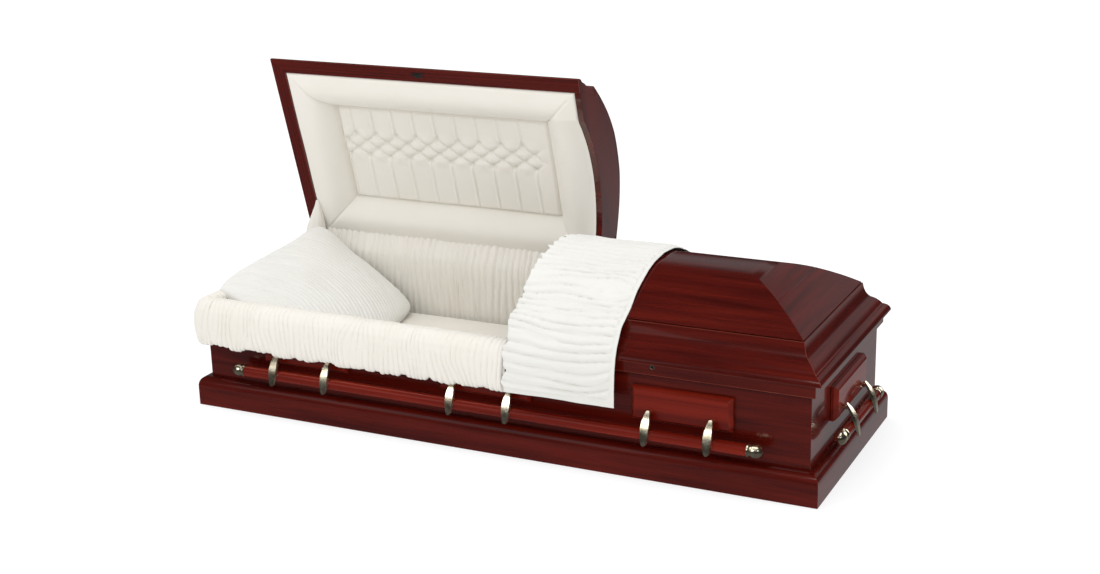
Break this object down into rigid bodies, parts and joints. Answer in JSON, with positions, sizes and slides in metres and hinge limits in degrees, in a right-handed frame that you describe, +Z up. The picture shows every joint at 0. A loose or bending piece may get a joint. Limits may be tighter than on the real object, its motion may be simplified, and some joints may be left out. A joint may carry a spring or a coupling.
{
  "type": "funeral casket",
  "caption": "Wooden funeral casket with a domed lid in two halves, the head half standing open on a padded cloth interior, moulded base and swinging bar handles on metal arms.",
  "frame": {"origin": "centre of the underside, on the floor", "axes": "+Z up; +X along the length towards the foot end; -Y towards the front, opposite the hinge"},
  "size_m": [2.1766, 0.8913, 1.0582],
  "materials": {
    "dark_wood": "dark cherry stain under high gloss lacquer",
    "handle_wood": "brighter cherry stain under high gloss lacquer",
    "antique_metal": "plated metal, polished, darkened in the hollows",
    "ivory_cloth": "soft ivory crepe, shirred and tufted"
  },
  "bodies": {
    "casket": {"base_moulding": "dark_wood", "board_back": "dark_wood", "board_foot": "dark_wood", "board_front": "dark_wood", "board_head": "dark_wood", "bottom_board": "dark_wood", "hinge_apron": "ivory_cloth", "hinge_body_leaf": "antique_metal", "mattress": "ivory_cloth", "overthrow_front": "ivory_cloth", "overthrow_head": "ivory_cloth", "pillow": "ivory_cloth", "plaque_back_1": "handle_wood", "plaque_back_2": "handle_wood", "plaque_back_3": "handle_wood", "plaque_foot": "handle_wood", "plaque_front_1": "handle_wood", "plaque_front_2": "handle_wood", "plaque_front_3": "handle_wood", "plaque_head": "handle_wood", "side_lining": "ivory_cloth", "stay_cover": "ivory_cloth", "top_moulding": "dark_wood"},
    "head_lid": {"head_lid_crown": "dark_wood", "head_lid_hinge_leaf": "antique_metal", "head_lid_padding": "ivory_cloth", "head_lid_rim": "dark_wood"},
    "foot_lid": {"foot_lid_crown": "dark_wood", "foot_lid_hinge_leaf": "antique_metal", "foot_lid_padding": "ivory_cloth", "foot_lid_rim": "dark_wood", "throw": "ivory_cloth"},
    "front_bar": {"arm_front_1": "antique_metal", "arm_front_2": "antique_metal", "arm_front_3": "antique_metal", "arm_front_4": "antique_metal", "arm_front_5": "antique_metal", "arm_front_6": "antique_metal", "bar_front": "handle_wood", "tip_front_1": "antique_metal", "tip_front_2": "antique_metal"},
    "back_bar": {"arm_back_1": "antique_metal", "arm_back_2": "antique_metal", "arm_back_3": "antique_metal", "arm_back_4": "antique_metal", "arm_back_5": "antique_metal", "arm_back_6": "antique_metal", "bar_back": "handle_wood", "tip_back_1": "antique_metal", "tip_back_2": "antique_metal"},
    "foot_bar": {"arm_foot_1": "antique_metal", "arm_foot_2": "antique_metal", "bar_foot": "handle_wood", "tip_foot_1": "antique_metal", "tip_foot_2": "antique_metal"},
    "head_bar": {"arm_head_1": "antique_metal", "arm_head_2": "antique_metal", "bar_head": "handle_wood", "tip_head_1": "antique_metal", "tip_head_2": "antique_metal"}
  },
  "joints": [
    {"name": "head_lid", "type": "hinge", "parent": "casket", "child": "head_lid", "pos_m": [-0.48, 0.3616, 0.3547], "axis": [-1, 0, 0], "range_deg": [-74.1, 0], "deforming": ["pillow", "overthrow_front", "overthrow_head", "hinge_apron", "stay_cover"]},
    {"name": "foot_lid", "type": "hinge", "parent": "casket", "child": "foot_lid", "pos_m": [0.57, 0.3616, 0.3547], "axis": [-1, 0, 0], "range_deg": [0, 74]},
    {"name": "front_bar", "type": "hinge", "parent": "casket", "child": "front_bar", "pos_m": [0, -0.368, 0.2065], "axis": [-1, 0, 0], "range_deg": [0, 40]},
    {"name": "back_bar", "type": "hinge", "parent": "casket", "child": "back_bar", "pos_m": [0, 0.368, 0.2065], "axis": [1, 0, 0], "range_deg": [0, 40]},
    {"name": "foot_bar", "type": "hinge", "parent": "casket", "child": "foot_bar", "pos_m": [1.051, 0, 0.2065], "axis": [0, -1, 0], "range_deg": [0, 40]},
    {"name": "head_bar", "type": "hinge", "parent": "casket", "child": "head_bar", "pos_m": [-1.051, 0, 0.2065], "axis": [0, 1, 0], "range_deg": [0, 40]}
  ]
}
